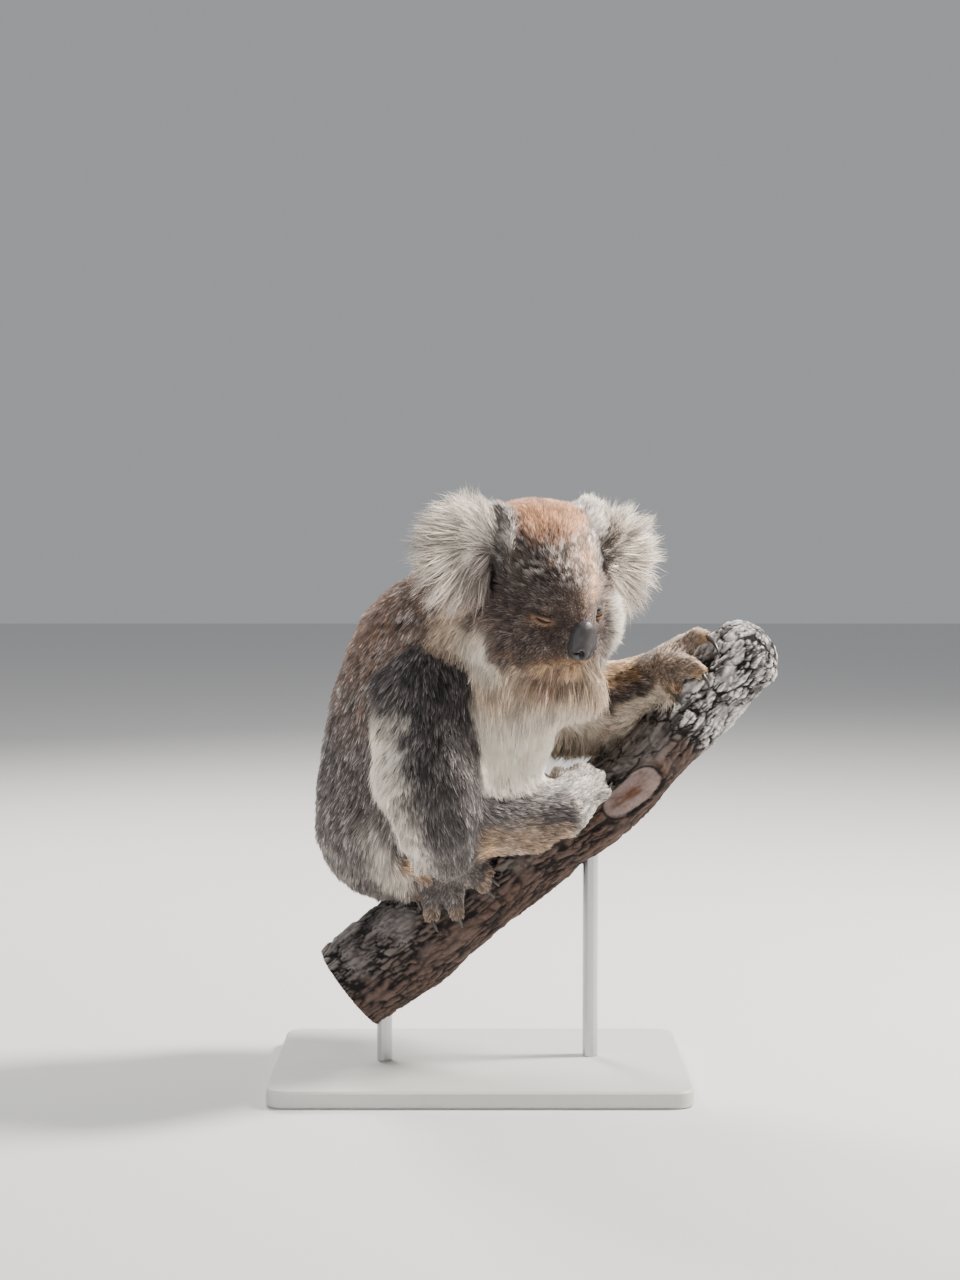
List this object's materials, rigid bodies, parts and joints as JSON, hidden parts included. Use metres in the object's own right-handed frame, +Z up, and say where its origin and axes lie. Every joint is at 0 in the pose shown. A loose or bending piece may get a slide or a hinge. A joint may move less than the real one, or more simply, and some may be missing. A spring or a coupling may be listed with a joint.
{
  "type": "koala model on a branch perch",
  "caption": "Life-size still model of a koala sitting on a sloping length of branch, held by a flat display stand with two rods.",
  "frame": {"origin": "middle of the underside of the stand's base, on the floor", "axes": "+Z up; +X towards the branch's high end, the way the trunk mostly faces; the animal's right side towards -Y"},
  "size_m": [0.5937, 0.3439, 0.6905],
  "materials": {
    "grey_fur": "dense grizzled grey fur",
    "brown_fur": "dense rust and grey-brown fur",
    "pale_fur": "dense pale grey to cream fur",
    "ear_fur": "long cream-white hair",
    "nose": "dark grey, finely pebbled, satin",
    "eye": "wet dark brown",
    "claw": "dark grey horn, satin",
    "bark": "grey-brown cracked bark",
    "plinth": "pale satin paint",
    "rod": "brushed"
  },
  "bodies": {
    "root": {"claw_foot_left_2": "claw", "claw_foot_left_3": "claw", "claw_foot_left_4": "claw", "claw_foot_left_5": "claw", "claw_foot_right_2": "claw", "claw_foot_right_3": "claw", "claw_foot_right_4": "claw", "claw_foot_right_5": "claw", "claw_hand_left_1": "claw", "claw_hand_left_2": "claw", "claw_hand_left_3": "claw", "claw_hand_left_4": "claw", "claw_hand_left_5": "claw", "claw_hand_right_1": "claw", "claw_hand_right_2": "claw", "claw_hand_right_3": "claw", "claw_hand_right_4": "claw", "claw_hand_right_5": "claw", "ear_left": "ear_fur", "ear_right": "ear_fur", "eye_left": "eye", "eye_right": "eye", "foot_left": "pale_fur", "foot_right": "pale_fur", "forearm_left": "grey_fur", "forearm_right": "grey_fur", "hand_left": "grey_fur", "hand_right": "grey_fur", "head": "brown_fur", "lower_leg_left": "pale_fur", "lower_leg_right": "pale_fur", "neck": "brown_fur", "nose": "nose", "perch_branch": "bark", "stand_base": "plinth", "stand_rod_1": "rod", "stand_rod_2": "rod", "thigh_left": "grey_fur", "thigh_right": "grey_fur", "trunk": "grey_fur", "upper_arm_left": "grey_fur", "upper_arm_right": "grey_fur"}
  },
  "joints": []
}
